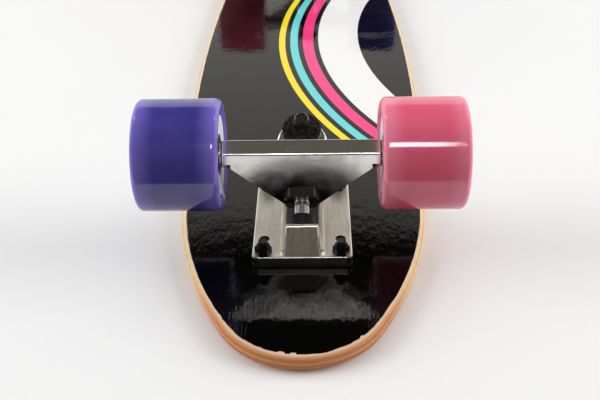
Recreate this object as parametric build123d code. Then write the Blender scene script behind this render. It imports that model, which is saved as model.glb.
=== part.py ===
from build123d import *
import os
from math import atan2, cos, degrees, radians, sin, sqrt, tan

os.makedirs("parts", exist_ok=True)

# A small cruiser skateboard lying on its grip tape, wheels up.
# X runs across the board, Y along it, Z up. The origin is on the table under the middle of the deck.
# Each truck is drawn in its own frame: the axle crosses at u = 0, u grows towards the middle of the
# board, and z starts at the underside of the deck. All sizes are millimetres.

# Deck and grip tape
deck_length = 636.0
deck_width = 160.0
deck_thickness = 8.6
deck_edge_radius = 3.8
deck_side_radius = 2000.0
deck_shoulder_radius = 240.0
deck_nose_radius = 45.5
wheelbase = 438.0
grip_thickness = 0.8
grip_inset = 4.6

# Deck bolts, their nuts and their holes
bolt_spacing_x = 41.3
bolt_spacing_y = 63.5
bolt_row_u = -24.2
spare_hole_step = 12.7
bolt_diameter = 4.8
bolt_hole_diameter = 5.6
bolt_head_diameter = 9.4
bolt_head_rim = 0.4
bolt_head_recess = 0.2
bolt_protrusion = 3.0
bolt_nut_flats = 8.0
bolt_nut_height = 4.0
bolt_nut_collar_height = 1.1
bolt_nut_collar_diameter = 7.2
thread_clearance = 0.05
head_clearance = 0.15

# Riser pad and baseplate
riser_thickness = 2.0
plate_thickness = 4.0
plate_width = 53.4
plate_margin_out = 4.2
plate_margin_in = 19.0
plate_corner_radius = 3.0
plate_edge_radius = 0.9
spine_base_width = 25.0
spine_top_width = 22.0
spine_height = 2.6
pillar_base_width = 21.0
pillar_top_width = 17.0
pillar_lip_front = 8.2
pillar_lip_back = 9.0
pillar_corner_radius = 1.6

# Pivot: a ball ended pin in a urethane cup, leaning in towards the board's middle
pivot_u = -13.5
pivot_z = 19.0
pin_angle = 38.0
ball_radius = 4.2
pin_radius = 3.9
pivot_clearance = 0.1
cup_radius = 6.2
cup_floor = 4.0
cup_taper = 3.0
cup_seat_clearance = 0.05
rim_rise = -3.2
cup_lip_radius = 6.8
cup_lip_height = 6.0
cup_lip_edge_radius = 1.0
cup_flare = 1.1
nose_gap = 7.7

# Kingpin stack, measured along the kingpin from the middle of the hanger's ring
ring_u = 30.5
ring_z = 39.5
ring_radius = 14.0
ring_thickness = 10.4
ring_hole_radius = 6.6
seat_depth = 1.2
seat_clearance = 0.2
kingpin_diameter = 8.0
kingpin_hole_clearance = 0.15
kingpin_head_flats = 13.0
kingpin_head_height = 5.3
kingpin_pocket_clearance = 0.4
kingpin_protrusion = 4.6
kingpin_nut_flats = 13.0
kingpin_nut_height = 5.0
kingpin_nut_collar_height = 0.6
kingpin_nut_collar_diameter = 11.4
boardside_bushing_diameter = 23.0
boardside_bushing_waist = 20.5
boardside_bushing_height = 14.0
roadside_bushing_diameter = 21.0
roadside_bushing_tip = 18.6
roadside_bushing_height = 11.0
bushing_bore_clearance = 0.3
washer_thickness = 1.4
washer_rim_height = 1.6
washer_rim_thickness = 1.0
washer_rim_clearance = 0.3
boss_radius = 12.4
boss_web = 8.0

# Hanger
axle_height = 52.5
hanger_width = 84.0
bar_front = 6.6
bar_back = 7.0
bar_ridge_u = 1.0
bar_ridge_rise = 8.2
bar_crease_rise = 3.7
bar_back_rise = 3.6
bar_drop = 6.4
bar_front_drop = 2.8
bar_floor_half = 3.2
bar_edge_radius = 1.4
bar_end_chamfer = 0.9
web_top_half_width = 37.0
web_top_drop = 5.0
web_thickness = 11.0
nose_half_width = 9.4
nose_depth = 19.0
nose_length = 12.0
nose_corner_radius = 5.0
arm_root_half_width = 21.0
arm_root_keel_half_width = 8.5
arm_root_low = 31.0
arm_root_high = 53.0
arm_tip_half_width = 11.5
arm_tip_u = 20.0
arm_tip_height = 8.6
bushing_room = 2.0

# Axle and its hardware
axle_diameter = 8.0
rod_end_chamfer = 0.8
axle_nut_flats = 12.7
axle_nut_height = 5.4
axle_nut_collar_height = 1.4
axle_nut_collar_diameter = 11.0
axle_protrusion = 2.0
speed_washer_diameter = 12.0
speed_washer_thickness = 1.0
axle_fit = 0.03

# Wheels
wheel_diameter = 59.0
wheel_width = 44.0
wheel_overlap = 0.8
wheel_lip_radius = 3.0
tyre_shoulder_radius = 25.0
tyre_side_dish = 1.2
core_radius = 21.0
core_rim = 2.2
core_inset = 1.4
hub_radius = 13.0
hub_step_radius = 8.8
funnel_run = 1.5

# Ball bearings
bearing_diameter = 22.0
bearing_width = 7.0
bearing_spacing = 10.0
ball_count = 7
bearing_ball_diameter = 3.97
bearing_pitch_radius = 7.5
groove_clearance = 0.09
inner_ring_radius = 6.05
outer_ring_bore_radius = 8.95
cage_thickness = 1.2
cage_back = 0.9
cage_front = 2.55
cage_clearance = 0.12
shield_thickness = 0.35
shield_inset = 0.3
shield_gap = 0.3
spacer_diameter = 10.4

# Levels and places that follow from the sizes above
deck_surface = grip_thickness + deck_thickness
plate_top = riser_thickness + plate_thickness
plate_out_u = bolt_row_u - plate_margin_out
plate_in_u = bolt_row_u + bolt_spacing_y + plate_margin_in
steer_angle = degrees(atan2(ring_z - pivot_z, ring_u - pivot_u))
wheel_inner_x = hanger_width / 2 - wheel_overlap
bearing_face = wheel_overlap + speed_washer_thickness
bearing_pack = 2 * bearing_width + bearing_spacing
axle_half_length = (
    hanger_width / 2 + 2 * speed_washer_thickness + bearing_pack
    + axle_nut_height + axle_nut_collar_height + axle_protrusion
)
ring_seat = ring_thickness / 2 - seat_depth
boss_top = -(ring_seat + boardside_bushing_height + washer_thickness)
nut_seat = ring_seat + roadside_bushing_height + washer_thickness
kingpin_end = nut_seat + kingpin_nut_height + kingpin_nut_collar_height + kingpin_protrusion
kingpin_head_top = boss_top - boss_web
cup_bottom = -(ball_radius + pivot_clearance + cup_floor)
bearing_middles = [
    bearing_face + bearing_width / 2,
    bearing_face + bearing_width + bearing_spacing + bearing_width / 2,
]

# Where each truck stands on the board
front_truck = Pos(0, -wheelbase / 2, deck_surface)
rear_truck = Pos(0, wheelbase / 2, deck_surface) * Rot(0, 0, 180)

# The kingpin stands square to the steering axis; the pivot pin leans at its own angle
kingpin_plane = Plane(
    origin=(0, ring_u, ring_z),
    x_dir=(1, 0, 0),
    z_dir=(0, -sin(radians(steer_angle)), cos(radians(steer_angle))),
)
pivot_plane = Plane(
    origin=(0, pivot_u, pivot_z),
    x_dir=(1, 0, 0),
    z_dir=(0, cos(radians(pin_angle)), sin(radians(pin_angle))),
)

bolt_places = [
    (x, u)
    for x in (-bolt_spacing_x / 2, bolt_spacing_x / 2)
    for u in (bolt_row_u, bolt_row_u + bolt_spacing_y)
]
spare_places = [(x, bolt_row_u + spare_hole_step) for x in (-bolt_spacing_x / 2, bolt_spacing_x / 2)]

upward = (Align.CENTER, Align.CENTER, Align.MIN)
downward = (Align.CENTER, Align.CENTER, Align.MAX)


def round_post(radius, low, high):
    """A round post on the Z axis from one level to another."""
    return Pos(0, 0, low) * Cylinder(radius, high - low, align=upward)


def lock_nut(flats, height, collar_diameter, collar_height, bore):
    """A hexagon nut with the round collar that holds its locking ring."""
    hexagon = extrude(RegularPolygon(flats / 2, 6, major_radius=False), amount=height)
    collar = round_post(collar_diameter / 2, height, height + collar_height)
    return hexagon + collar - round_post(bore / 2, 0, height + collar_height)


def deck_outline(inset):
    """The plan of the deck from tangent arcs: two sides, four shoulders and two noses."""
    half_width = deck_width / 2
    half_length = deck_length / 2
    side = Vector(half_width - deck_side_radius, 0)
    nose = Vector(0, half_length - deck_nose_radius)
    side_reach = deck_side_radius - deck_shoulder_radius
    nose_reach = deck_shoulder_radius - deck_nose_radius
    gap = (nose - side).length
    along = (side_reach**2 - nose_reach**2 + gap**2) / (2 * gap)
    across = sqrt(side_reach**2 - along**2)
    ahead = (nose - side) / gap
    aside = Vector(ahead.Y, -ahead.X)
    shoulder = side + ahead * along + aside * across
    from_side = (shoulder - side) / side_reach
    to_nose = (nose - shoulder) / nose_reach
    middle = (from_side + to_nose).normalized()
    first = side + from_side * (deck_side_radius - inset)
    bulge = shoulder + middle * (deck_shoulder_radius - inset)
    last = shoulder + to_nose * (deck_shoulder_radius - inset)
    edge = half_width - inset
    tip = half_length - inset
    arcs = []
    for sx in (1, -1):
        arcs.append(ThreePointArc((sx * first.X, -first.Y), (sx * edge, 0), (sx * first.X, first.Y)))
        for sy in (1, -1):
            arcs.append(
                ThreePointArc(
                    (sx * first.X, sy * first.Y),
                    (sx * bulge.X, sy * bulge.Y),
                    (sx * last.X, sy * last.Y),
                )
            )
    for sy in (1, -1):
        arcs.append(ThreePointArc((-last.X, sy * last.Y), (0, sy * tip), (last.X, sy * last.Y)))
    return make_face(arcs)


def both_trucks(solid):
    """Copies of a truck piece at the front and the rear truck."""
    return [place * solid for place in (front_truck, rear_truck)]


def bolt_head(growth):
    """A countersunk bolt head, its flat side down on the z = 0 plane."""
    radius = bolt_head_diameter / 2 + growth
    rim = round_post(radius, 0, bolt_head_rim)
    taper = radius - bolt_diameter / 2
    return rim + Pos(0, 0, bolt_head_rim) * Cone(radius, bolt_diameter / 2, taper, align=upward)


def deck():
    board = extrude(deck_outline(0), amount=deck_thickness)
    board = fillet(board.faces().filter_by(Axis.Z).edges(), deck_edge_radius)
    board = Pos(0, 0, grip_thickness) * board
    cutters = []
    for x, u in bolt_places:
        through = Pos(x, u) * round_post(bolt_hole_diameter / 2, -deck_surface, 0)
        sunk = Pos(x, u, bolt_head_recess - deck_surface) * bolt_head(head_clearance)
        cutters += both_trucks(through) + both_trucks(sunk)
    return board - cutters


def grip_tape():
    sheet = extrude(deck_outline(grip_inset), amount=grip_thickness)
    cutters = []
    for x, u in bolt_places:
        cutters += both_trucks(
            Pos(x, u) * round_post(bolt_head_diameter / 2 + head_clearance, -deck_surface, 0)
        )
    return sheet - cutters


def bolts():
    top = plate_top + bolt_nut_height + bolt_nut_collar_height + bolt_protrusion
    low = bolt_head_recess - deck_surface
    bolt = Pos(0, 0, low) * bolt_head(0) + round_post(bolt_diameter / 2, low, top)
    return [Pos(x, u) * bolt for x, u in bolt_places]


def bolt_nuts():
    nut = lock_nut(
        bolt_nut_flats,
        bolt_nut_height,
        bolt_nut_collar_diameter,
        bolt_nut_collar_height,
        bolt_diameter + 2 * thread_clearance,
    )
    return [Pos(x, u, plate_top) * nut for x, u in bolt_places]


def plate_blank(low, high):
    """The outline that the riser pad and the baseplate's flange share."""
    middle = (plate_out_u + plate_in_u) / 2
    outline = RectangleRounded(plate_width, plate_in_u - plate_out_u, plate_corner_radius)
    return extrude(Pos(0, middle, low) * outline, amount=high - low)


def plate_holes():
    return [
        Pos(x, u) * round_post(bolt_hole_diameter / 2, 0, plate_top) for x, u in bolt_places + spare_places
    ]


def riser_pad():
    return plate_blank(0, riser_thickness) - plate_holes()


def pivot_post():
    """The post that carries the pivot cup: sloped in front, cut square to the pin on top."""
    front = pivot_plane.from_local_coords(Vector(0, -pillar_lip_front, rim_rise))
    back = pivot_plane.from_local_coords(Vector(0, pillar_lip_back, rim_rise))
    side_view = make_face(
        Polyline(
            (plate_out_u + plate_edge_radius, riser_thickness),
            (plate_out_u + plate_edge_radius, plate_top),
            (front.Y, front.Z),
            (back.Y, back.Z),
            (back.Y, riser_thickness),
            close=True,
        )
    )
    block = extrude(Plane.YZ * side_view, amount=plate_width, both=True)
    front_view = make_face(
        Polyline(
            (-pillar_base_width / 2, riser_thickness),
            (pillar_base_width / 2, riser_thickness),
            (pillar_top_width / 2, front.Z),
            (-pillar_top_width / 2, front.Z),
            close=True,
        )
    )
    wedge = extrude(Plane.XZ * front_view, amount=2 * abs(plate_out_u), both=True)
    post = block & wedge
    corners = post.faces().sort_by(Axis.Y)[:2].edges().filter_by(lambda edge: edge.center().Z > plate_top)
    return fillet(corners, pillar_corner_radius)


def cup_plug(radius):
    """The tapered plug under the pivot cup's lip, or at a larger radius the hole that takes it."""
    plug = round_post(radius, cup_bottom, rim_rise)
    return chamfer(plug.edges().sort_by(Axis.Z)[0], cup_taper)


def baseplate():
    flange = plate_blank(riser_thickness, plate_top)
    flange = fillet(flange.faces().sort_by(Axis.Z)[-1].edges(), plate_edge_radius)
    spine_section = make_face(
        Polyline(
            (-spine_base_width / 2, plate_top - plate_edge_radius),
            (spine_base_width / 2, plate_top - plate_edge_radius),
            (spine_top_width / 2, plate_top + spine_height),
            (-spine_top_width / 2, plate_top + spine_height),
            close=True,
        )
    )
    spine_start = plate_out_u + plate_corner_radius
    spine = extrude(Plane.XZ.offset(-spine_start) * spine_section, amount=spine_start - ring_u)
    reach = 2 * (ring_z + boss_radius)
    boss = kingpin_plane * Pos(0, 0, boss_top) * Cylinder(boss_radius, reach, align=downward)
    room = Pos(0, plate_in_u, riser_thickness) * Box(
        plate_width, 2 * plate_in_u, ring_z, align=(Align.CENTER, Align.MAX, Align.MIN)
    )
    solid = flange + spine + pivot_post() + (boss & room)
    cup_bore = pivot_plane * cup_plug(cup_radius + cup_seat_clearance)
    kingpin_bore = kingpin_plane * round_post(
        kingpin_diameter / 2 + kingpin_hole_clearance, kingpin_head_top - kingpin_head_height, ring_z
    )
    pocket_radius = kingpin_head_flats / sqrt(3) + kingpin_pocket_clearance
    pocket = kingpin_plane * Pos(0, 0, kingpin_head_top) * Cylinder(pocket_radius, reach, align=downward)
    return solid - plate_holes() - cup_bore - kingpin_bore - pocket


def pivot_cup():
    body = cup_plug(cup_radius)
    lip = round_post(cup_lip_radius, rim_rise, rim_rise + cup_lip_height)
    socket = ball_radius + pivot_clearance
    mouth = Cone(socket, socket + cup_flare, rim_rise + cup_lip_height, align=upward)
    lip = fillet(lip.edges().sort_by(Axis.Z)[-1], cup_lip_edge_radius)
    return pivot_plane * (body + lip - Sphere(socket) - mouth)


def kingpin():
    shank = round_post(kingpin_diameter / 2, kingpin_head_top, kingpin_end)
    shank = chamfer(shank.edges().sort_by(Axis.Z)[-1], rod_end_chamfer)
    hexagon = RegularPolygon(kingpin_head_flats / 2, 6, major_radius=False)
    head = extrude(Pos(0, 0, kingpin_head_top) * hexagon, amount=-kingpin_head_height)
    return kingpin_plane * (shank + head)


def kingpin_nut():
    nut = lock_nut(
        kingpin_nut_flats,
        kingpin_nut_height,
        kingpin_nut_collar_diameter,
        kingpin_nut_collar_height,
        kingpin_diameter + 2 * thread_clearance,
    )
    return kingpin_plane * Pos(0, 0, nut_seat) * nut


def turned(points):
    """A solid of revolution about the kingpin from (radius, height) points."""
    return kingpin_plane * revolve(Plane.XZ * make_face(Polyline(*points, close=True)), Axis.Z)


def boardside_bushing():
    bore = kingpin_diameter / 2 + bushing_bore_clearance
    edge = boardside_bushing_diameter / 2
    waist = boardside_bushing_waist / 2
    top = -ring_seat
    low = top - boardside_bushing_height
    return turned([(bore, low), (edge, low), (waist, (low + top) / 2), (edge, top), (bore, top)])


def roadside_bushing():
    bore = kingpin_diameter / 2 + bushing_bore_clearance
    low = ring_seat
    top = low + roadside_bushing_height
    return turned(
        [(bore, low), (roadside_bushing_diameter / 2, low), (roadside_bushing_tip / 2, top), (bore, top)]
    )


def cup_washer(diameter, seat, facing):
    """A dished washer whose rim wraps the end of a bushing; facing is +1 up, -1 down."""
    bore = kingpin_diameter / 2 + kingpin_hole_clearance
    edge = diameter / 2
    inner = edge - washer_rim_thickness
    back = seat - facing * washer_thickness
    rim = seat + facing * washer_rim_height
    return turned([(bore, back), (edge, back), (edge, rim), (inner, rim), (inner, seat), (bore, seat)])


def boardside_washer():
    diameter = boardside_bushing_diameter + 2 * (washer_rim_thickness + washer_rim_clearance)
    return cup_washer(diameter, boss_top + washer_thickness, 1)


def roadside_washer():
    diameter = roadside_bushing_tip + 2 * (washer_rim_thickness + washer_rim_clearance)
    return cup_washer(diameter, nut_seat - washer_thickness, -1)


def hanger_bar():
    """The crossbar: a low roof on top, an upright front and a keel under the axle."""
    section = make_face(
        Polyline(
            (-bar_front, axle_height + bar_crease_rise),
            (bar_ridge_u, axle_height + bar_ridge_rise),
            (bar_back, axle_height + bar_back_rise),
            (bar_back, axle_height - bar_front_drop),
            (bar_floor_half, axle_height - bar_drop),
            (-bar_floor_half, axle_height - bar_drop),
            (-bar_front, axle_height - bar_front_drop),
            close=True,
        )
    )
    section = fillet(section.vertices(), bar_edge_radius)
    bar = extrude(Plane.YZ * section, amount=hanger_width / 2, both=True)
    ends = bar.faces().filter_by(Axis.X).edges()
    return chamfer(ends, bar_end_chamfer)


def hanger():
    nose_start = rim_rise + cup_lip_height + nose_gap
    nose_top = pivot_plane.from_local_coords(Vector(0, 0, nose_start))
    web_face = make_face(
        Polyline(
            (-web_top_half_width, axle_height),
            (-web_top_half_width, axle_height - web_top_drop),
            (-nose_half_width, nose_top.Z),
            (nose_half_width, nose_top.Z),
            (web_top_half_width, axle_height - web_top_drop),
            (web_top_half_width, axle_height),
            close=True,
        )
    )
    web = extrude(Plane.XZ.offset(bar_front) * web_face, amount=-web_thickness)
    nose = Box(2 * nose_half_width, nose_depth, nose_length, align=upward)
    nose = fillet(nose.edges().filter_by(Axis.Z), nose_corner_radius)
    nose = pivot_plane * Pos(0, 0, nose_start) * nose
    pin = pivot_plane * (Sphere(ball_radius) + round_post(pin_radius, 0, nose_start + nose_length / 2))
    root = make_face(
        Polyline(
            (-arm_root_half_width, arm_root_high),
            (-arm_root_keel_half_width, arm_root_low),
            (arm_root_keel_half_width, arm_root_low),
            (arm_root_half_width, arm_root_high),
            close=True,
        )
    )
    tip_level = ring_z - (ring_u - arm_tip_u) * tan(radians(steer_angle))
    tip = Pos(0, tip_level) * Rectangle(2 * arm_tip_half_width, arm_tip_height)
    arm = loft([Plane.XZ * root, Plane.XZ.offset(-arm_tip_u) * tip])
    ring = round_post(ring_radius, -ring_thickness / 2, ring_thickness / 2)
    ring = kingpin_plane * fillet(ring.edges(), bar_edge_radius)
    solid = hanger_bar() + web + nose + pin + arm + ring
    below = round_post(boardside_bushing_diameter / 2 + bushing_room, -ring_z, -ring_thickness / 2)
    above = round_post(roadside_bushing_diameter / 2 + bushing_room, ring_thickness / 2, ring_z)
    low_seat = round_post(boardside_bushing_diameter / 2 + seat_clearance, -ring_z, -ring_seat)
    high_seat = round_post(roadside_bushing_diameter / 2 + seat_clearance, ring_seat, ring_z)
    hole = round_post(ring_hole_radius, -ring_z, ring_z)
    for cutter in (below, above, low_seat, high_seat, hole):
        solid -= kingpin_plane * cutter
    return solid - across_axle(Cylinder(axle_diameter / 2, hanger_width))


def across_axle(solid):
    """Turns a solid from the Z axis onto the axle line."""
    return Pos(0, 0, axle_height) * Rot(0, 90, 0) * solid


def axle():
    rod = Cylinder(axle_diameter / 2, 2 * axle_half_length)
    return across_axle(chamfer(rod.edges().filter_by(GeomType.CIRCLE), rod_end_chamfer))


def both_ends(solid):
    """A piece drawn outward from the hanger's end along Z, set at both ends of the axle."""
    outward = [across_axle(Pos(0, 0, hanger_width / 2) * solid)]
    outward.append(Rot(0, 0, 180) * outward[0])
    return outward


def washer_tube(outer, inner, low, high):
    return round_post(outer, low, high) - round_post(inner, low, high)


def speed_washers():
    bore = axle_diameter / 2 + axle_fit
    solids = []
    for low in (0, speed_washer_thickness + bearing_pack):
        ring = washer_tube(speed_washer_diameter / 2, bore, low, low + speed_washer_thickness)
        solids += both_ends(ring)
    return solids


def axle_nuts():
    nut = lock_nut(
        axle_nut_flats,
        axle_nut_height,
        axle_nut_collar_diameter,
        axle_nut_collar_height,
        axle_diameter + 2 * thread_clearance,
    )
    return both_ends(Pos(0, 0, 2 * speed_washer_thickness + bearing_pack) * nut)


def spun(points):
    """A solid of revolution about the wheel's axis from (distance from inner face, radius) points."""
    return revolve(make_face(Polyline(*points, close=True)), Axis.X)


def tyre():
    radius = wheel_diameter / 2
    section = make_face(
        Polyline(
            (tyre_side_dish, core_radius),
            (0, tyre_shoulder_radius),
            (0, radius),
            (wheel_width, radius),
            (wheel_width, tyre_shoulder_radius),
            (wheel_width - tyre_side_dish, core_radius),
            close=True,
        )
    )
    section = fillet(section.vertices().group_by(Axis.Y)[-1], wheel_lip_radius)
    return revolve(section, Axis.X)


def core():
    seat = bearing_diameter / 2
    first = bearing_face + bearing_width
    second = first + bearing_spacing
    last = second + bearing_width
    rim = core_radius - core_rim
    outer = wheel_width - core_inset
    return spun(
        [
            (core_inset, core_radius),
            (core_inset, rim),
            (bearing_face, hub_radius),
            (bearing_face, seat),
            (first, seat),
            (first, hub_step_radius),
            (second, hub_step_radius),
            (second, seat),
            (last, seat),
            (last, hub_radius),
            (last + funnel_run, hub_radius),
            (outer, rim),
            (outer, core_radius),
        ]
    )


def race(outer, inner):
    """One bearing ring with its ball groove, centred on the origin about X."""
    half = bearing_width / 2
    ring = spun([(-half, inner), (half, inner), (half, outer), (-half, outer)])
    groove = Torus(bearing_pitch_radius, bearing_ball_diameter / 2 + groove_clearance)
    return ring - Rot(0, 90, 0) * groove


def outer_rings():
    ring = race(bearing_diameter / 2, outer_ring_bore_radius)
    return [Pos(middle, 0, 0) * ring for middle in bearing_middles]


def inner_rings():
    ring = race(inner_ring_radius, axle_diameter / 2 + axle_fit)
    return [Pos(middle, 0, 0) * ring for middle in bearing_middles]


def ball_cages():
    """Seven balls in a crown cage for each of the two bearings."""
    radius = bearing_ball_diameter / 2
    spots = [
        Rot(360 / ball_count * step, 0, 0) * Pos(0, bearing_pitch_radius, 0) for step in range(ball_count)
    ]
    inner = bearing_pitch_radius - cage_thickness / 2
    outer = bearing_pitch_radius + cage_thickness / 2
    cage = spun([(-cage_back, inner), (cage_front, inner), (cage_front, outer), (-cage_back, outer)])
    cage -= [spot * Sphere(radius + cage_clearance) for spot in spots]
    balls = [spot * Sphere(radius) for spot in spots]
    return [Pos(middle, 0, 0) * solid for middle in bearing_middles for solid in balls + [cage]]


def shields():
    edge = bearing_width / 2 - shield_inset
    back = edge - shield_thickness
    inner = inner_ring_radius + shield_gap
    plate = spun(
        [(back, inner), (edge, inner), (edge, outer_ring_bore_radius), (back, outer_ring_bore_radius)]
    )
    pair = [plate, Rot(0, 0, 180) * plate]
    return [Pos(middle, 0, 0) * solid for middle in bearing_middles for solid in pair]


def spacer():
    start = bearing_face + bearing_width
    bore = axle_diameter / 2 + axle_fit
    edge = spacer_diameter / 2
    end = start + bearing_spacing
    return spun([(start, bore), (end, bore), (end, edge), (start, edge)])


def write(name, solids, place=Pos(0, 0, 0)):
    """One file for each named piece; a group of like solids shares a file."""
    placed = [place * solid for solid in solids]
    export_step(placed[0] if len(placed) == 1 else Compound(children=placed), f"parts/{name}.step")


write("deck", [deck()])
write("grip_tape", [grip_tape()])

truck_pieces = {
    "riser_pad": [riser_pad()],
    "baseplate": [baseplate()],
    "pivot_cup": [pivot_cup()],
    "kingpin": [kingpin()],
    "kingpin_nut": [kingpin_nut()],
    "boardside_bushing": [boardside_bushing()],
    "roadside_bushing": [roadside_bushing()],
    "boardside_washer": [boardside_washer()],
    "roadside_washer": [roadside_washer()],
    "hanger": [hanger()],
    "axle": [axle()],
    "axle_nuts": axle_nuts(),
    "speed_washers": speed_washers(),
    "deck_bolts": bolts(),
    "deck_bolt_nuts": bolt_nuts(),
}
for end, place in (("front", front_truck), ("rear", rear_truck)):
    for name, solids in truck_pieces.items():
        write(f"{end}_{name}", solids, place)

wheel_pieces = {
    "tyre": [tyre()],
    "core": [core()],
    "bearing_outer_rings": outer_rings(),
    "bearing_inner_rings": inner_rings(),
    "ball_cages": ball_cages(),
    "bearing_shields": shields(),
    "bearing_spacer": [spacer()],
}
right_wheel = Pos(wheel_inner_x, 0, axle_height)
left_wheel = Rot(0, 0, 180) * right_wheel
wheel_places = {
    "front_left": front_truck * left_wheel,
    "front_right": front_truck * right_wheel,
    "rear_left": rear_truck * right_wheel,
    "rear_right": rear_truck * left_wheel,
}
for corner, place in wheel_places.items():
    for name, solids in wheel_pieces.items():
        write(f"{corner}_{name}", solids, place)
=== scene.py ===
from math import cos, hypot, pi, radians, sin, sqrt

import bpy
from mathutils import Matrix, Vector


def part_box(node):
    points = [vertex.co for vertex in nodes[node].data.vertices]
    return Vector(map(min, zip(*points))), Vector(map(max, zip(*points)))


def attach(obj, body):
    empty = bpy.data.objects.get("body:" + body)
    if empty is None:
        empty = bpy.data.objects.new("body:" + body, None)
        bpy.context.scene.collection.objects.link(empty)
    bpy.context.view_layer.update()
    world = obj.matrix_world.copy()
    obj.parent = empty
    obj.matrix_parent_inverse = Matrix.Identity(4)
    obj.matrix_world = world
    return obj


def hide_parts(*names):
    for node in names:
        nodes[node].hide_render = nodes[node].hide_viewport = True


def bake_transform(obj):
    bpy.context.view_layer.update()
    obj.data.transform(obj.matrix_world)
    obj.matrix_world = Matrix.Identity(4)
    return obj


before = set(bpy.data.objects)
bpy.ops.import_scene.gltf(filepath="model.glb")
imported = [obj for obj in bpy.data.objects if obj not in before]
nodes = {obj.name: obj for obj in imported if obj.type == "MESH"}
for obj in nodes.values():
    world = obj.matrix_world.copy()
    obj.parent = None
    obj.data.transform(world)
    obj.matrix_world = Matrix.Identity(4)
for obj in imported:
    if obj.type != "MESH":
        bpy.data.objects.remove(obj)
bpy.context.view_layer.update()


# Deck: a flat oval pressed from seven maple veneers, its edges rounded over with a router.
# The underside is sprayed gloss black up to the start of the rounding, over printed colour arcs,
# and the bare edge shows the veneers: long grain at the sides and end grain at both tips, where the
# wood is darker partly from the end grain and partly from painted shade.

class Field:
    """A value that changes over a surface. Python sums on it add the shader's Math nodes."""

    def __init__(self, finish, socket):
        self.finish = finish
        self.socket = socket

    def math(self, operation, *rest):
        return self.finish.node("Math", {"operation": operation}, dict(enumerate((self, *rest))))

    def turned_round(self, operation, first):
        return self.finish.node("Math", {"operation": operation}, {0: first, 1: self})

    def __add__(self, other):
        return self.math("ADD", other)

    def __sub__(self, other):
        return self.math("SUBTRACT", other)

    def __rsub__(self, other):
        return self.turned_round("SUBTRACT", other)

    def __mul__(self, other):
        return self.math("MULTIPLY", other)

    def __truediv__(self, other):
        return self.math("DIVIDE", other)

    def __rtruediv__(self, other):
        return self.turned_round("DIVIDE", other)

    def __pow__(self, other):
        return self.math("POWER", other)

    def __gt__(self, other):
        return self.math("GREATER_THAN", other)

    def __lt__(self, other):
        return self.math("LESS_THAN", other)

    def __abs__(self):
        return self.math("ABSOLUTE")

    __radd__ = __add__
    __rmul__ = __mul__


class Finish:
    """A material, or the room's light, as it is put together node by node."""

    def __init__(self, owner):
        owner.use_nodes = True
        self.owner = owner
        self.tree = owner.node_tree
        self.tree.nodes.clear()

    def node(self, kind, settings={}, sockets={}, out=0):
        node = self.tree.nodes.new("ShaderNode" + kind)
        for name, value in settings.items():
            if name == "stops":
                stops = node.color_ramp.elements
                while len(stops) < len(value):
                    stops.new(1.0)
                for stop, (place, colour) in zip(stops, value):
                    stop.position = place
                    stop.color = (*colour, 1.0)
            else:
                setattr(node, name, value)
        for name, value in sockets.items():
            if isinstance(value, Field):
                self.tree.links.new(value.socket, node.inputs[name])
            else:
                node.inputs[name].default_value = value
        return Field(self, node.outputs[out]) if node.outputs else None

    def place(self):
        """Where a point lies on the piece, in metres, as one vector."""
        return self.node("TexCoord", out="Object")

    def split(self, vector):
        return [self.node("SeparateXYZ", {}, {0: vector}, out=axis) for axis in range(3)]

    def noise(self, size, stretch=(1, 1, 1), detail=2.0, roughness=0.5, vector=None):
        """Cloudy noise about 0.5; size is the width of its lumps in metres along each axis."""
        across = [1 / (size * part) for part in stretch]
        spread = self.node(
            "VectorMath", {"operation": "MULTIPLY"}, {0: vector or self.place(), 1: across}
        )
        return self.node(
            "TexNoise", {}, {"Vector": spread, "Scale": 1.0, "Detail": detail, "Roughness": roughness}
        )

    def ramp(self, value, low, high, start=0.0, end=1.0):
        """A smooth climb from start to end as value goes from low to high."""
        return self.node(
            "MapRange",
            {"interpolation_type": "SMOOTHSTEP"},
            {"Value": value, "From Min": low, "From Max": high, "To Min": start, "To Max": end},
        )

    def mix(self, share, first, second):
        """The first colour where share is 0 and the second where it is 1."""
        first, second = [c if isinstance(c, Field) else (*c, 1.0) for c in (first, second)]
        return self.node("Mix", {"data_type": "RGBA"}, {0: share, 6: first, 7: second}, out=2)

    def bump(self, height):
        """A surface whose relief is height, in metres."""
        return self.node("Bump", {}, {"Strength": 1.0, "Distance": 1.0, "Height": height})

    def surface(self, hidden=None, **sockets):
        """Closes the material with one Principled shader, see-through where hidden is 1."""
        named = {name.replace("_", " "): value for name, value in sockets.items()}
        for name, value in named.items():
            if isinstance(value, tuple) and name in ("Base Color", "Coat Tint"):
                named[name] = (*value, 1.0)
        shader = self.node("BsdfPrincipled", {}, named)
        if hidden:
            clear = self.node("BsdfTransparent")
            shader = self.node("MixShader", {}, {0: hidden, 1: shader, 2: clear})
        self.node("OutputMaterial", {}, {"Surface": shader})
        return self.owner


def dress(material, *names):
    """Gives CAD pieces their finish."""
    for name in names:
        mesh = nodes[name].data
        mesh.materials.clear()
        mesh.materials.append(material)


deck_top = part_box("deck")[1].z
deck_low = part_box("deck")[0].z
half_length, half_width = 0.318, 0.080
side_radius, shoulder_radius, nose_radius = 2.0, 0.240, 0.0455
side_x = half_width - side_radius
nose_y = half_length - nose_radius
side_reach = side_radius - shoulder_radius
nose_reach = shoulder_radius - nose_radius
centre_gap = hypot(nose_y, side_x)
along = (side_reach**2 - nose_reach**2 + centre_gap**2) / (2 * centre_gap)
across = sqrt(side_reach**2 - along**2)
shoulder_x = side_x + (-side_x * along + nose_y * across) / centre_gap
shoulder_y = (nose_y * along + side_x * across) / centre_gap

maple = Finish(bpy.data.materials.new("black_lacquer_on_maple"))
x, y, z = maple.split(maple.place())
right, ahead = abs(x), abs(y)


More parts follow.
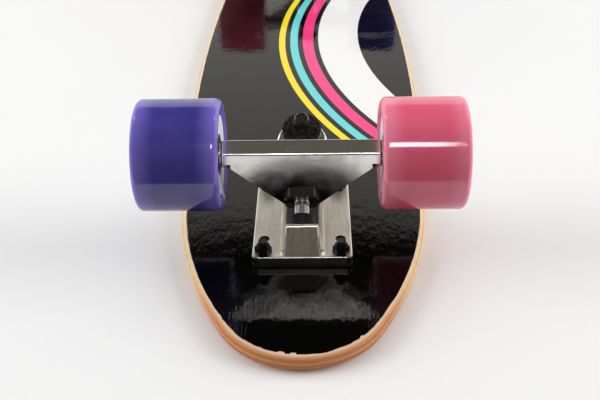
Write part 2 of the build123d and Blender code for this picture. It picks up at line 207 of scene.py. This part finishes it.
def reach_from(radius, centre_x, centre_y, x, y):
    """How far a point lies inside a circle's edge."""
    dx, dy = x - centre_x, y - centre_y
    return radius - (dx * dx + dy * dy) ** 0.5


past_side = ahead * (shoulder_x - side_x) > (right - side_x) * shoulder_y
past_shoulder = (ahead - shoulder_y) * -shoulder_x > (right - shoulder_x) * (nose_y - shoulder_y)
by_side = reach_from(side_radius, side_x, 0, right, ahead)
by_shoulder = reach_from(shoulder_radius, shoulder_x, shoulder_y, right, ahead)
by_nose = reach_from(nose_radius, 0, nose_y, right, ahead)
tip_inset = by_shoulder + past_shoulder * (by_nose - by_shoulder)
inset = by_side + past_side * (tip_inset - by_side)

# veneers, seen on the rounded edge
veneer = 0.00137
sheet_wave = maple.noise(0.03, (1, 3, 1)) * 0.0008
depth = (deck_top - z + sheet_wave - 0.0004) / veneer
sheet = depth.math("FLOOR")
turned_sheet = maple.ramp(abs(sheet.math("MODULO", 2.0) - 1), 0.4, 0.6)
glue_line = maple.ramp(abs(depth - sheet - 0.5), 0.42, 0.49)
long_grain = maple.noise(0.0009, (1, 26, 1), detail=4.0, roughness=0.65)
pores = maple.noise(0.0004, (1, 1, 1.6), detail=3.0, roughness=0.7)
side_tone = maple.mix(turned_sheet, (0.80, 0.53, 0.25), (0.92, 0.72, 0.42))
# the tips' darker wood: partly end grain, partly painted shade
tip_tone = maple.mix(turned_sheet, (0.53, 0.20, 0.078), (0.64, 0.30, 0.135))
tipped = maple.ramp(ahead + 0.012 * (long_grain - 0.5), 0.240, 0.296)
wood = maple.mix(tipped, side_tone, tip_tone)
wood = maple.mix(maple.ramp(long_grain, 0.35, 0.75) * (1 - tipped) * 0.45, wood, (0.45, 0.27, 0.13))
wood = maple.mix(maple.ramp(pores, 0.5, 0.72) * (0.15 + 0.45 * tipped), wood, (0.16, 0.06, 0.02))
wood = maple.mix(glue_line * (0.5 - 0.25 * tipped), wood, (0.27, 0.13, 0.06))
# painted shade on the lower part of the rounded edge, strongest at the tips
painted_low_edge_shade = maple.ramp(z + 0.0016 * (long_grain - 0.5), deck_low + 0.0050, deck_low + 0.0022)
wood = maple.mix(painted_low_edge_shade * (0.15 + 0.5 * tipped), wood, (0.42, 0.13, 0.050))

# a painted highlight along the upper rim of the bare edge, where the paint stops
painted_rim_highlight = maple.ramp(inset, 0.0014, 0.0028) * maple.ramp(z, deck_top - 0.0014, deck_top - 0.0007)
wood = maple.mix(painted_rim_highlight * (0.9 - 0.35 * tipped), wood, (0.86, 0.74, 0.55))

# gloss paint with its ragged edge
ragged = (maple.noise(0.007, detail=3.0, roughness=0.55) - 0.5) * 0.0018
chips = maple.ramp(maple.noise(0.0075, detail=2.0, roughness=0.5), 0.62, 0.70) * 0.0011
at_tip = maple.ramp(ahead, 0.262, 0.300)
edge_line = inset + ragged * (0.35 + 0.65 * at_tip) - chips * at_tip - 0.0007 * at_tip
paint = maple.ramp(edge_line, 0.0027, 0.0030) * maple.ramp(z, deck_top - 0.0016, deck_top - 0.0012)

# printed arcs between the trucks: one broad white, with magenta, cyan and yellow round it
arc_x, arc_y = 0.300, 0.054
ring = reach_from(0.0, arc_x, arc_y, x, y) * -1
fuzz = 0.00025
lacquer = (0.0014, 0.0013, 0.0012)
print_colour = lacquer
for inner, outer, colour in (
    (0.258, 0.290, (0.90, 0.90, 0.88)),
    (0.2940, 0.3025, (0.95, 0.055, 0.26)),
    (0.3065, 0.3125, (0.15, 0.70, 0.72)),
    (0.3165, 0.3215, (0.98, 0.76, 0.02)),
):
    past_inner = maple.ramp(ring, inner - fuzz, inner + fuzz)
    past_outer = maple.ramp(ring, outer - fuzz, outer + fuzz)
    print_colour = maple.mix(past_inner * (1 - past_outer), print_colour, colour)

# the sprayed coat's orange peel, its slow waves, and lines rubbed along the board near the tips
peel = maple.noise(0.0017, (1, 3.0, 1), detail=2.0) * 0.00006
waves = maple.noise(0.010, (1, 1.4, 1)) * 0.00010
rubbed_lines = maple.noise(0.0011, (1, 18, 1), detail=2.0) * maple.ramp(ahead, 0.250, 0.265)
coat = peel + waves + rubbed_lines * 0.00006
coat_thickness = 0.00012
wood_relief = long_grain * 0.00004 + pores * 0.00005
relief = paint * (coat + coat_thickness) + (1 - paint) * wood_relief
scuffs = maple.ramp(maple.noise(0.02, (1, 2, 1), detail=6.0, roughness=0.75), 0.56, 0.75)
dress(
    maple.surface(
        Base_Color=maple.mix(paint, wood, print_colour),
        Roughness=paint * (0.05 + scuffs * 0.05) + (1 - paint) * (0.5 + 0.2 * pores),
        Normal=maple.bump(relief),
        IOR=1.33,
    ),
    "deck",
)


# Grip tape: silicon carbide grit bonded to a black self adhesive sheet, pressed on the riding
# face and trimmed a little inside the edge of the deck.
grip = Finish(bpy.data.materials.new("black_grit"))
grain = grip.node("TexVoronoi", {}, {"Vector": grip.place(), "Scale": 1900.0})
grit = grip.noise(0.00045, detail=3.0, roughness=0.7)
worn = grip.ramp(grip.noise(0.05, detail=3.0), 0.45, 0.7)
glint = grip.ramp(grip.noise(0.0007, detail=1.0), 0.68, 0.74)
black_grit = grip.mix(worn, (0.020, 0.020, 0.021), (0.042, 0.041, 0.039))
dress(
    grip.surface(
        Base_Color=grip.mix(glint * 0.6, black_grit, (0.26, 0.26, 0.27)),
        Roughness=0.95 - 0.5 * glint,
        Normal=grip.bump(grit * 0.00025 - grain * 0.0003),
    ),
    "grip_tape",
)


# Riser pads: thin black polyethylene sheets punched to the outline of the baseplates, which
# keep the bolts from cracking the lacquer.
pad = Finish(bpy.data.materials.new("black_riser_plastic"))
pebble = pad.noise(0.0008, detail=2.0)
dress(
    pad.surface(
        Base_Color=pad.mix(pad.noise(0.006), (0.010, 0.010, 0.010), (0.022, 0.021, 0.020)),
        Roughness=0.42 + 0.2 * pebble,
        Normal=pad.bump(pebble * 0.00004),
    ),
    "front_riser_pad", "rear_riser_pad",
)


# Baseplates: aluminium alloy die castings, tumbled and brushed along the board to a satin shine, and
# held to the deck by four bolts each. Dirt stays in the casting's pores. Painted shade darkens the
# hollow behind the pivot post and the end edges.
satin = Finish(bpy.data.materials.new("satin_casting"))
brushing = satin.noise(0.00030, (1, 24, 1), detail=3.0, roughness=0.65)
cloudy = satin.noise(0.012, detail=4.0, roughness=0.6)
drawn = satin.noise(0.0018, (1, 9, 9), detail=2.0)
specks = satin.ramp(satin.noise(0.0010, detail=2.0, roughness=0.7), 0.70, 0.76)
satin_metal = satin.mix(satin.ramp(cloudy, 0.40, 0.72) * 0.3, (0.97, 0.935, 0.84), (0.80, 0.77, 0.70))
dark_marks = specks * 0.45 + satin.ramp(drawn, 0.42, 0.75) * 0.22
satin_metal = satin.mix(dark_marks, satin_metal, (0.30, 0.27, 0.23))
pivot_y, pivot_z = 0.2325, 0.0284
top_face = satin.ramp(satin.split(satin.node("TexCoord", out="Normal"))[2], 0.80, 0.97)
plate_x, plate_y = [abs(part) for part in satin.split(satin.place())[:2]]
# painted shade in the hollow behind the pivot post
painted_pivot_hollow_shade = 1 - satin.ramp(plate_x + 0.002 * (cloudy - 0.5), 0.0084, 0.0102)
painted_pivot_hollow_shade *= 1 - satin.ramp(plate_y, pivot_y + 0.001, pivot_y + 0.006)
painted_pivot_hollow_shade *= satin.ramp(plate_y, pivot_y - 0.048, pivot_y - 0.040)
plate_tip = -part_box("front_baseplate")[0].y
# painted shade along the plate's end edge
painted_end_edge_shade = satin.ramp(plate_y, plate_tip - 0.0012, plate_tip - 0.0004)
painted_plate_shade = (painted_pivot_hollow_shade * 0.92).math("MAXIMUM", painted_end_edge_shade * 0.6)
dress(
    satin.surface(
        Base_Color=satin.mix(painted_plate_shade, satin_metal, (0.035, 0.030, 0.026)),
        Metallic=1 - 0.15 * top_face,
        Roughness=0.18 + 0.08 * cloudy + top_face * (0.20 + 0.12 * brushing),
        Normal=satin.bump(brushing * 0.000012 + drawn * 0.00006 + cloudy * 0.00003 - specks * 0.00003),
    ),
    "front_baseplate", "rear_baseplate",
)


# Hangers: aluminium alloy die castings, buffed across the board to a soft mirror, each held between
# its pivot and its bushings. Faint ripples of the casting stay on the faces and dirt stays in its
# pores. Painted shade and a painted reflection of the dark deck cover the nose and thin out up the
# web, but not on the bare pivot pin.
alloy = Finish(bpy.data.materials.new("polished_casting"))
ripple = alloy.noise(0.0065, (1.6, 1, 1), detail=2.0)
buffing = alloy.noise(0.0003, (30, 1, 1), detail=3.0, roughness=0.65)
bloom = alloy.noise(0.014, detail=4.0, roughness=0.6)
pits = alloy.ramp(alloy.noise(0.0011, detail=2.0, roughness=0.7), 0.70, 0.76)
tarnish = alloy.ramp(bloom, 0.42, 0.72)
casting = alloy.mix(tarnish * 0.4, (0.82, 0.81, 0.79), (0.62, 0.605, 0.58))
casting = alloy.mix(pits * 0.5, casting, (0.16, 0.15, 0.14))
pin_slope = radians(38.0)  # the pivot pin's slope from level


def from_pivot(stretch):
    """How far a point lies from the nearer truck's pivot, with each axis stretched."""
    x, y, z = alloy.split(alloy.place())
    off = [x * stretch[0], (abs(y) - pivot_y) * stretch[1], (z - pivot_z) * stretch[2]]
    return (off[0] * off[0] + off[1] * off[1] + off[2] * off[2]) ** 0.5


across, along_board, up = alloy.split(alloy.place())
off_pin = (abs(along_board) - pivot_y) * sin(pin_slope) + (up - pivot_z) * cos(pin_slope)
bare_pin = 1 - alloy.ramp((across * across + off_pin * off_pin) ** 0.5, 0.0043, 0.0050)
# painted shade and painted reflection of the dark deck: dark round the pivot nose, thinner up the web
painted_nose_shade = 1 - alloy.ramp(from_pivot((0.8, 0.7, 0.7)) + 0.003 * bloom, 0.0150, 0.0190)
painted_web_shade = 0.55 - 0.55 * alloy.ramp(from_pivot((0.75, 1.0, 1.0)), 0.017, 0.032)
painted_shade_and_reflection = painted_nose_shade.math("MAXIMUM", painted_web_shade) * (1 - bare_pin) * 0.9
dress(
    alloy.surface(
        Base_Color=alloy.mix(painted_shade_and_reflection, casting, (0.030, 0.026, 0.023)),
        Metallic=1.0,
        Roughness=0.12 + 0.10 * tarnish + 0.10 * buffing + 0.2 * pits,
        Normal=alloy.bump(ripple * 0.00004 + buffing * 0.000005 - pits * 0.00003),
    ),
    "front_hanger", "rear_hanger",
)


# Pivot cups and bushings: black cast urethane. The cups line the baseplates' sockets. The bushings
# slide on the kingpin, one each side of the hanger's ring.
urethane = Finish(bpy.data.materials.new("black_urethane"))
dull = urethane.noise(0.003, detail=3.0)
black_urethane = urethane.surface(
    Base_Color=urethane.mix(dull, (0.011, 0.011, 0.011), (0.024, 0.023, 0.022)),
    Roughness=0.35 + 0.25 * dull,
    Normal=urethane.bump(urethane.noise(0.0012) * 0.00003),
    IOR=1.3,
)
dress(black_urethane, "front_pivot_cup", "rear_pivot_cup")

ring_y, ring_z = 0.1885, 0.0489
steer_angle = radians(24.981)
ring_seat = 0.0040
board_height, road_height = 0.014, 0.011
bore = 0.0043
turn_steps = 64


def lathe(name, profile, origin, axis, material):
    """A closed ring turned about a line: profile is (radius, distance along the line) points."""
    axis = Vector(axis).normalized()
    out = Vector((1, 0, 0)) if abs(axis.x) < 0.9 else Vector((0, 1, 0))
    aside = axis.cross(out)
    points, faces = [], []
    count = len(profile)
    for step in range(turn_steps):
        angle = 2 * pi * step / turn_steps
        arm = out * cos(angle) + aside * sin(angle)
        points += [Vector(origin) + axis * far + arm * radius for radius, far in profile]
        for here in range(count):
            after = (step + 1) % turn_steps
            following = (here + 1) % count
            this_row, next_row = step * count, after * count
            faces.append(
                (this_row + here, next_row + here, next_row + following, this_row + following)
            )
    mesh = bpy.data.meshes.new(name)
    mesh.from_pydata(points, [], faces)
    mesh.update()
    for face in mesh.polygons:
        face.use_smooth = True
    mesh.materials.append(material)
    piece = bpy.data.objects.new(name, mesh)
    bpy.context.scene.collection.objects.link(piece)
    return piece


def bushing_profile(low, high, low_radius, waist, high_radius):
    """Rounded rims, a drawn in waist and a straight bore."""
    rim = 0.0011
    rows = 12
    face = bore + 0.0015
    rounding = (0, pi / 6, pi / 3, pi / 2)
    points = [(bore, low), (face, low)]
    points += [(low_radius - rim + rim * sin(a), low + rim - rim * cos(a)) for a in rounding]
    for row in range(1, rows):
        share = row / rows
        side = low_radius + (high_radius - low_radius) * share
        points.append((side - waist * sin(pi * share), low + rim + (high - low - 2 * rim) * share))
    for a in reversed(rounding):
        points.append((high_radius - rim + rim * sin(a), high - rim + rim * cos(a)))
    points += [(face, high), (bore, high)]
    points += [(bore, high + (low - high) * row / rows) for row in range(1, rows)]
    return points


for end, sign in (("front", -1), ("rear", 1)):
    ring_middle = Vector((0, sign * ring_y, ring_z))
    kingpin_line = Vector((0, sign * sin(steer_angle), cos(steer_angle)))
    board_end, ring_low = -ring_seat - board_height, -ring_seat
    boardside = lathe(
        f"{end}_boardside_cushion",
        bushing_profile(board_end, ring_low, low_radius=0.0115, waist=0.0012, high_radius=0.0115),
        ring_middle, kingpin_line, black_urethane,
    )
    ring_high, road_end = ring_seat, ring_seat + road_height
    roadside = lathe(
        f"{end}_roadside_cushion",
        bushing_profile(ring_high, road_end, low_radius=0.0105, waist=0.0, high_radius=0.0093),
        ring_middle, kingpin_line, black_urethane,
    )
    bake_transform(boardside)
    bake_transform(roadside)
    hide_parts(f"{end}_boardside_bushing")
    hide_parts(f"{end}_roadside_bushing")


# Kingpins, cup washers, deck bolts and lock nuts: steel with a black oxide finish, rubbed to bare
# metal in places on the kingpins, their nuts and the road side washers. The nuts hold by a nylon ring
# in their collars, and a few turns of thread stand out of each.
oxide = Finish(bpy.data.materials.new("black_oxide_steel"))
mottle = oxide.noise(0.0016, detail=4.0, roughness=0.65)
rubbed = oxide.ramp(oxide.noise(0.0006, (1, 1, 4), detail=3.0), 0.62, 0.75)
blackened = oxide.mix(mottle, (0.004, 0.004, 0.004), (0.013, 0.012, 0.012))
black_steel = oxide.surface(
    Base_Color=oxide.mix(rubbed * 0.3, blackened, (0.16, 0.15, 0.14)),
    Metallic=0.15,
    Roughness=0.05 + 0.12 * mottle,
    Normal=oxide.bump(mottle * 0.00005),
    IOR=1.45,
)
turned = Finish(bpy.data.materials.new("worn_black_steel"))
grime = turned.noise(0.0010, detail=4.0, roughness=0.65)
worn_steel = turned.surface(
    Base_Color=turned.mix(turned.ramp(grime, 0.45, 0.70), (0.040, 0.039, 0.036), (0.30, 0.29, 0.26)),
    Metallic=0.85,
    Roughness=0.12 + 0.2 * grime,
    Normal=turned.bump(grime * 0.00006),
)
for end in ("front", "rear"):
    dress(worn_steel, f"{end}_kingpin_nut", f"{end}_kingpin", f"{end}_roadside_washer")
    dress(
        black_steel,
        f"{end}_boardside_washer", f"{end}_deck_bolts", f"{end}_deck_bolt_nuts",
    )


def thread(name, start, axis, radius, pitch, length, rise, material, body):
    """A helical ridge round the bare end of a bolt, fading in and out at its ends."""
    axis = Vector(axis).normalized()
    out = Vector((1, 0, 0)) if abs(axis.x) < 0.9 else Vector((0, 1, 0))
    aside = axis.cross(out)
    per_turn, fade = 28, 8
    ridge = ((0.08, -0.04), (0.42, 1.0), (0.58, 1.0), (0.92, -0.04))  # in pitches and in rises
    steps = round(per_turn * (length - pitch) / pitch)
    points, faces = [], []
    for step in range(steps + 1):
        angle = 2 * pi * step / per_turn
        arm = out * cos(angle) + aside * sin(angle)
        far = pitch * step / per_turn
        height = rise * min(1.0, step / fade, (steps - step) / fade)
        for across, up in ridge:
            lift = height * up if up > 0 else rise * up
            points.append(Vector(start) + axis * (far + pitch * across) + arm * (radius + lift))
        if step:
            at = 4 * step
            for side in range(4):
                following = (side + 1) % 4
                faces.append((at - 4 + side, at + side, at + following, at - 4 + following))
    faces.append((3, 2, 1, 0))
    faces.append(tuple(4 * steps + side for side in range(4)))
    mesh = bpy.data.meshes.new(name)
    mesh.from_pydata(points, [], faces)
    mesh.update()
    mesh.materials.append(material)
    piece = bpy.data.objects.new(name, mesh)
    bpy.context.scene.collection.objects.link(piece)
    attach(piece, body)
    return piece


bolt_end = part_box("front_deck_bolts")[1].z
bolt_bare = 0.0030
bolt_x, bolt_rows = 0.02065, (("outer", 0.2432), ("inner", 0.1797))
kingpin_end, kingpin_bare = 0.0266, 0.0045
for end, sign in (("front", -1), ("rear", 1)):
    ring_middle = Vector((0, sign * ring_y, ring_z))
    kingpin_line = Vector((0, sign * sin(steer_angle), cos(steer_angle)))
    thread(
        f"{end}_kingpin_thread", ring_middle + kingpin_line * (kingpin_end - kingpin_bare), kingpin_line,
        radius=0.0040, pitch=0.00085, length=0.0037, rise=0.00022,
        material=black_steel, body="board",
    )
    for across_sign in (-1, 1):
        for row, far in bolt_rows:
            side = "left" if across_sign < 0 else "right"
            thread(
                f"{end}_{side}_{row}_bolt_thread",
                (across_sign * bolt_x, sign * far, bolt_end - bolt_bare + 0.0001), (0, 0, 1),
                radius=0.0024, pitch=0.0008, length=bolt_bare - 0.0002, rise=0.0002,
                material=black_steel, body="board",
            )


# Axles, axle nuts, speed washers and bearing spacers: plain carbon steel, ground and zinc plated. Each
# axle is cast into its hanger, and its threaded ends carry the nuts.
axle_y, axle_z = 0.219, 0.0619
axle_end, axle_bare = 0.0768, 0.0019
zinc = Finish(bpy.data.materials.new("ground_steel"))
turning = zinc.noise(0.0004, (1, 8, 8), detail=3.0)
haze = zinc.noise(0.004, detail=3.0)
ground_steel = zinc.surface(
    Base_Color=zinc.mix(haze, (0.50, 0.49, 0.47), (0.66, 0.65, 0.63)),
    Metallic=1.0,
    Roughness=0.18 + 0.2 * turning,
    Normal=zinc.bump(turning * 0.000006),
)
for end in ("front", "rear"):
    dress(ground_steel, f"{end}_axle", f"{end}_axle_nuts", f"{end}_speed_washers")
    sign = -1 if end == "front" else 1
    for side, across_sign in (("left", -1), ("right", 1)):
        thread(
            f"{end}_{side}_axle_thread",
            (across_sign * (axle_end - axle_bare), sign * axle_y, axle_z), (across_sign, 0, 0),
            radius=0.0040, pitch=0.0007, length=0.0012, rise=0.0002,
            material=ground_steel, body=f"{end}_truck",
        )


# Bearings: two in each wheel, hardened chrome steel rings round seven balls in a pressed cage,
# closed on both sides by black rubber shields.
corners = ("front_left", "front_right", "rear_left", "rear_right")
chrome = Finish(bpy.data.materials.new("bearing_chrome_steel"))
lapped = chrome.noise(0.0005, detail=3.0)
oil = chrome.ramp(chrome.noise(0.003, detail=3.0), 0.4, 0.7)
bearing_steel = chrome.surface(
    Base_Color=chrome.mix(oil * 0.7, (0.66, 0.60, 0.46), (0.50, 0.40, 0.22)),
    Metallic=1.0,
    Roughness=0.12 + 0.12 * lapped,
    Normal=chrome.bump(lapped * 0.000004),
)
rubber = Finish(bpy.data.materials.new("shield_rubber"))
dusty = rubber.noise(0.002, detail=3.0)
shield_rubber = rubber.surface(
    Base_Color=rubber.mix(dusty, (0.010, 0.010, 0.010), (0.030, 0.029, 0.028)),
    Roughness=0.4 + 0.2 * dusty,
    Normal=rubber.bump(dusty * 0.00002),
)
for corner in corners:
    dress(
        bearing_steel,
        f"{corner}_bearing_outer_rings", f"{corner}_bearing_inner_rings", f"{corner}_ball_cages",
    )
    dress(shield_rubber, f"{corner}_bearing_shields")
    dress(ground_steel, f"{corner}_bearing_spacer")


# Cores: white glass filled nylon hubs, injection moulded. Each carries two bearings, pressed in
# from both sides, and the tyre is cast round it.
hub = Finish(bpy.data.materials.new("white_nylon"))
flow = hub.noise(0.006, detail=3.0)
speck = hub.noise(0.0006, detail=2.0)
white_nylon = hub.surface(
    Base_Color=hub.mix(flow, (0.84, 0.84, 0.89), (0.91, 0.91, 0.94)),
    Roughness=0.32 + 0.2 * speck,
    Normal=hub.bump(speck * 0.00002),
    Subsurface_Weight=0.15,
    Subsurface_Scale=0.003,
)
dress(white_nylon, *(f"{corner}_core" for corner in corners))


# Wheels: translucent urethane poured round the cores and turned to size, one violet and one pink
# on each axle. Their colour is painted lighter towards the thin lips, a painted glow of the light
# that comes through them.
wheel_middle, wheel_half = 0.0632, 0.022


def poured(name, deep, thin, glow):
    cast = Finish(bpy.data.materials.new(name))
    x, y, z = cast.split(cast.place())
    off_middle = abs(abs(x) - wheel_middle) / wheel_half
    # painted glow: the colour turns lighter towards the lips
    painted_lip_glow = cast.ramp(off_middle, 0.42, 1.0)
    cloud = cast.ramp(cast.noise(0.02, detail=3.0), 0.35, 0.7)
    turned = cast.noise(0.00035, (1, 60, 60), detail=2.0)
    dust = cast.noise(0.0012, detail=4.0, roughness=0.7)
    return cast.surface(
        Base_Color=cast.mix(painted_lip_glow * 0.85 + cloud * 0.12, deep, thin),
        Roughness=0.05 + 0.05 * turned + 0.04 * dust,
        Normal=cast.bump(turned * 0.000002 + cast.noise(0.012) * 0.00002),
        Subsurface_Weight=0.2,
        Subsurface_Radius=glow,
        Subsurface_Scale=0.005,
        IOR=1.65,
    )


violet = poured("violet_urethane", (0.047, 0.038, 0.27), (0.22, 0.17, 0.64), (0.45, 0.35, 1.0))
pink = poured("pink_urethane", (0.80, 0.115, 0.21), (0.95, 0.27, 0.40), (1.0, 0.35, 0.45))
dress(violet, "front_left_tyre", "rear_right_tyre")
dress(pink, "front_right_tyre", "rear_left_tyre")


# Studio: a white table in front of a bright backdrop that reaches a third of the way up, in a dim
# warm room. The floor in front of the table shows, but it throws no light back on the wheels. The
# floor is clear from below, where the board lies on it, and far off, where it fades into white. The
# big lamps don't show in glossy surfaces, and the small ones show in nothing else.
sweep = Finish(bpy.data.materials.new("white_sweep"))
from_below = sweep.node("NewGeometry", out="Backfacing")
under_board = sweep.node("LightPath", out="Ray Length") < 0.0015
out_x, out_y, _ = sweep.split(sweep.place())
far_off = sweep.ramp((out_x * out_x + out_y * out_y) ** 0.5, 0.8, 2.2)
faded = far_off * sweep.node("LightPath", out="Is Camera Ray")
white_sweep = sweep.surface(
    hidden=from_below.math("MAXIMUM", under_board).math("MAXIMUM", faded),
    Base_Color=sweep.mix(sweep.noise(0.2), (0.885, 0.89, 0.895), (0.90, 0.905, 0.91)),
    Roughness=0.7 + 0.1 * sweep.noise(0.01),
    Normal=sweep.bump(sweep.noise(0.004) * 0.00001),
)
floor_reach, floor_drop, table_edge = 8.0, -0.0003, -0.366


def floor_sheet(name, near, far):
    mesh = bpy.data.meshes.new(name)
    corners = [(-floor_reach, near), (floor_reach, near), (floor_reach, far), (-floor_reach, far)]
    mesh.from_pydata([(x, y, floor_drop) for x, y in corners], [], [(0, 1, 2, 3)])
    mesh.materials.append(white_sweep)
    sheet = bpy.data.objects.new(name, mesh)
    bpy.context.scene.collection.objects.link(sheet)
    return sheet


floor_sheet("table", table_edge, floor_reach)
front_floor = floor_sheet("front_floor", -floor_reach, table_edge)
front_floor.visible_diffuse = front_floor.visible_glossy = False

room = bpy.data.worlds.new("room")
bpy.context.scene.world = room
walls = Finish(room)
_, toward_back, height = walls.split(walls.node("TexCoord", out="Generated"))
backdrop_top = radians(35.0)
backdrop = walls.ramp(toward_back, -0.05, 0.35) * (
    1 - walls.ramp(height, sin(backdrop_top - radians(1.5)), sin(backdrop_top + radians(1.5)))
)
mirrored = walls.node("LightPath", out="Is Glossy Ray")
seen = walls.node("LightPath", out="Is Camera Ray") + walls.node("LightPath", out="Is Transmission Ray")
sheet_light = walls.mix(mirrored, (0.80, 0.80, 0.79), (1.0, 0.965, 0.895))
over_backdrop = walls.ramp(toward_back, 0.15, 0.45) * (
    1 - walls.ramp(height, sin(radians(58)), sin(radians(75)))
)
dim_light = walls.mix(over_backdrop, (0.110, 0.098, 0.082), (0.020, 0.018, 0.015))
room_light = walls.mix(backdrop, dim_light, sheet_light)
under_floor = walls.ramp(height, sin(radians(-30)), sin(radians(-40)))
room_light = walls.mix(under_floor, room_light, (0.75, 0.75, 0.75))
light = walls.mix(seen, room_light, (1.0, 1.0, 1.0))
walls.node("OutputWorld", {}, {"Surface": walls.node("Background", {}, {"Color": light})})


def panel(name, place, aim, width, height, power):
    lamp = bpy.data.lights.new(name, "AREA")
    lamp.shape = "RECTANGLE"
    lamp.size, lamp.size_y, lamp.energy = width, height, power
    stand = bpy.data.objects.new(name, lamp)
    stand.location = place
    stand.rotation_euler = (Vector(aim) - Vector(place)).to_track_quat("-Z", "Y").to_euler()
    bpy.context.scene.collection.objects.link(stand)
    return stand


target = (0, -0.15, 0.05)
front_lamp = panel(
    "front_lamp", (0.075, -1.24, 1.16), (0.06, -0.22, 0.07), width=0.45, height=0.20, power=4.6
)
front_lamp.visible_diffuse = False
for name, side in (("left_panel", -1), ("right_panel", 1)):
    flank = panel(name, (1.9 * side, -0.25, 1.0), target, width=1.6, height=1.2, power=33.0)
    flank.visible_glossy = False
softbox = panel("softbox", (0, 0.9, 2.3), (0, 0.9, 0), width=4.4, height=3.6, power=33.0)
softbox.visible_glossy = False
for name, side in (("left_spark", -1), ("right_spark", 1)):
    spark = panel(name, (1.2 * side, 0.7, 1.6), target, width=0.3, height=0.3, power=3.0)
    spark.visible_diffuse = False

pitch, yaw, roll = radians(33.5), radians(-1.29), radians(-1.16)
forward = Vector((sin(yaw) * cos(pitch), cos(yaw) * cos(pitch), -sin(pitch)))
level = Vector((cos(yaw), -sin(yaw), 0))
upright = level.cross(forward)
eye_right = level * cos(roll) + upright * sin(roll)
eye_up = upright * cos(roll) - level * sin(roll)
lens = bpy.data.cameras.new("camera")
lens.sensor_width, lens.lens = 36.0, 54.0
lens.clip_start = 0.01
camera = bpy.data.objects.new("camera", lens)
camera.matrix_world = Matrix.Translation((0.008, -0.626, 0.3024)) @ Matrix(
    (eye_right, eye_up, -forward)
).transposed().to_4x4()
bpy.context.scene.collection.objects.link(camera)
bpy.context.scene.camera = camera
bpy.context.scene.view_settings.view_transform = "Standard"
